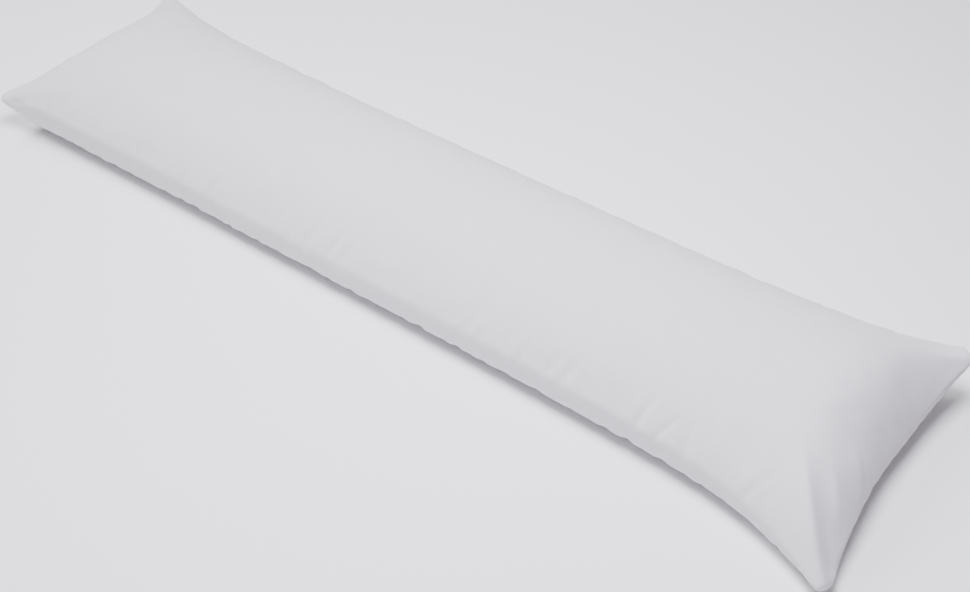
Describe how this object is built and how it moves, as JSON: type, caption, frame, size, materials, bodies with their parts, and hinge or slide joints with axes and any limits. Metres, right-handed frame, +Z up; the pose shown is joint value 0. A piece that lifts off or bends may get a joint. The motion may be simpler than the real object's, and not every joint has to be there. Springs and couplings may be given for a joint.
{
  "type": "body pillow",
  "caption": "Long rectangular body pillow: upper and lower cloth panels sewn together round the edge and filled, lying on its back.",
  "frame": {"origin": "point on the surface that the pillow lies on, under the middle of its corner-to-corner rectangle", "axes": "+X along the pillow towards its front end, whose right corner lies almost on the surface; +Y across it to the left; +Z up, away from the surface"},
  "size_m": [1.4928, 0.412, 0.127],
  "materials": {
    "cover_cloth": "matt, smooth, fine plain weave"
  },
  "bodies": {
    "root": {"body_pillow": "cover_cloth"}
  },
  "joints": []
}
